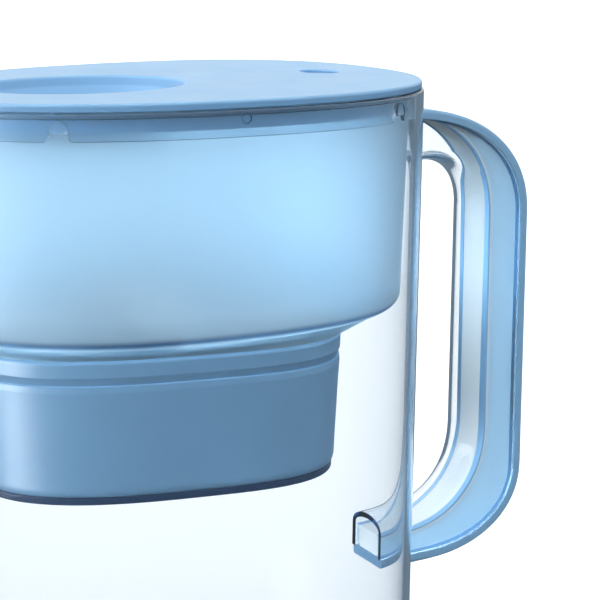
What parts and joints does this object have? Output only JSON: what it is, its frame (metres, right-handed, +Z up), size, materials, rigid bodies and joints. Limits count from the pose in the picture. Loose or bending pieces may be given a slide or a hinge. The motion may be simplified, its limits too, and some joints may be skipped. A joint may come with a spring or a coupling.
{
  "type": "water filter pitcher",
  "caption": "Clear oval water filter jug with a loop handle, a drop-in blue reservoir, a filter cartridge, a flip fill flap, a pouring flap and a filter-change button.",
  "frame": {"origin": "centre of the jug's base, on the table", "axes": "+Z up; +X from the body towards the handle, -X towards the spout; Y across the body, which is mirrored in Y"},
  "size_m": [0.2781, 0.1576, 0.284],
  "materials": {
    "clear_plastic": "clear, glossy",
    "light_blue_plastic": "satin gloss",
    "mid_blue_plastic": "satin gloss",
    "frosted_blue_plastic": "frosted, translucent",
    "button_blue_plastic": "satin",
    "navy_plastic": "satin",
    "white_plastic": "matte",
    "grey_rubber": "soft, matte",
    "silicone": "translucent, soft",
    "screen_mesh": "fine woven mesh",
    "carbon_granules": "coarse black granules",
    "resin_beads": "small amber beads",
    "steel": "plain",
    "board_green": "solder mask"
  },
  "bodies": {
    "jug": {"jug": "clear_plastic", "grip_insert": "light_blue_plastic", "grip_strip": "mid_blue_plastic"},
    "reservoir": {"reservoir": "frosted_blue_plastic", "housing_seal": "grey_rubber", "filter_housing": "mid_blue_plastic", "outlet_plate": "navy_plastic"},
    "cartridge": {"cartridge_shell": "white_plastic", "cartridge_cap": "white_plastic", "cartridge_seal": "grey_rubber", "inlet_screen": "screen_mesh", "carbon_bed": "carbon_granules", "resin_bed": "resin_beads", "outlet_screen": "screen_mesh"},
    "lid": {"lid": "light_blue_plastic", "fill_flap_pin": "steel", "spout_flap_pin": "steel", "indicator_case": "white_plastic", "indicator_cover": "white_plastic", "circuit_board": "board_green", "coin_cell": "steel", "button_dome": "silicone"},
    "fill_flap": {"fill_flap": "light_blue_plastic"},
    "spout_flap": {"spout_flap": "light_blue_plastic"},
    "button": {"indicator_button": "button_blue_plastic"}
  },
  "joints": [
    {"name": "reservoir_lift", "type": "slide", "parent": "jug", "child": "reservoir", "axis": [0, 0, 1], "range_m": [0, 0.17]},
    {"name": "lid_lift", "type": "slide", "parent": "reservoir", "child": "lid", "axis": [0, 0, 1], "range_m": [0, 0.08]},
    {"name": "cartridge_lift", "type": "slide", "parent": "reservoir", "child": "cartridge", "axis": [0, 0, 1], "range_m": [0, 0.05]},
    {"name": "fill_flap_hinge", "type": "hinge", "parent": "lid", "child": "fill_flap", "pos_m": [-0.0074, 0, 0.2727], "axis": [0, 1, 0], "range_deg": [0, 95]},
    {"name": "spout_flap_hinge", "type": "hinge", "parent": "lid", "child": "spout_flap", "pos_m": [-0.08565, 0, 0.2818], "axis": [0, 1, 0], "range_deg": [0, 75]},
    {"name": "button_press", "type": "slide", "parent": "lid", "child": "button", "axis": [0, 0, -1], "range_m": [0, 0.0008], "stiffness_N_per_m": 280, "springref_m": -0.001, "deforming": ["button_dome"]}
  ]
}
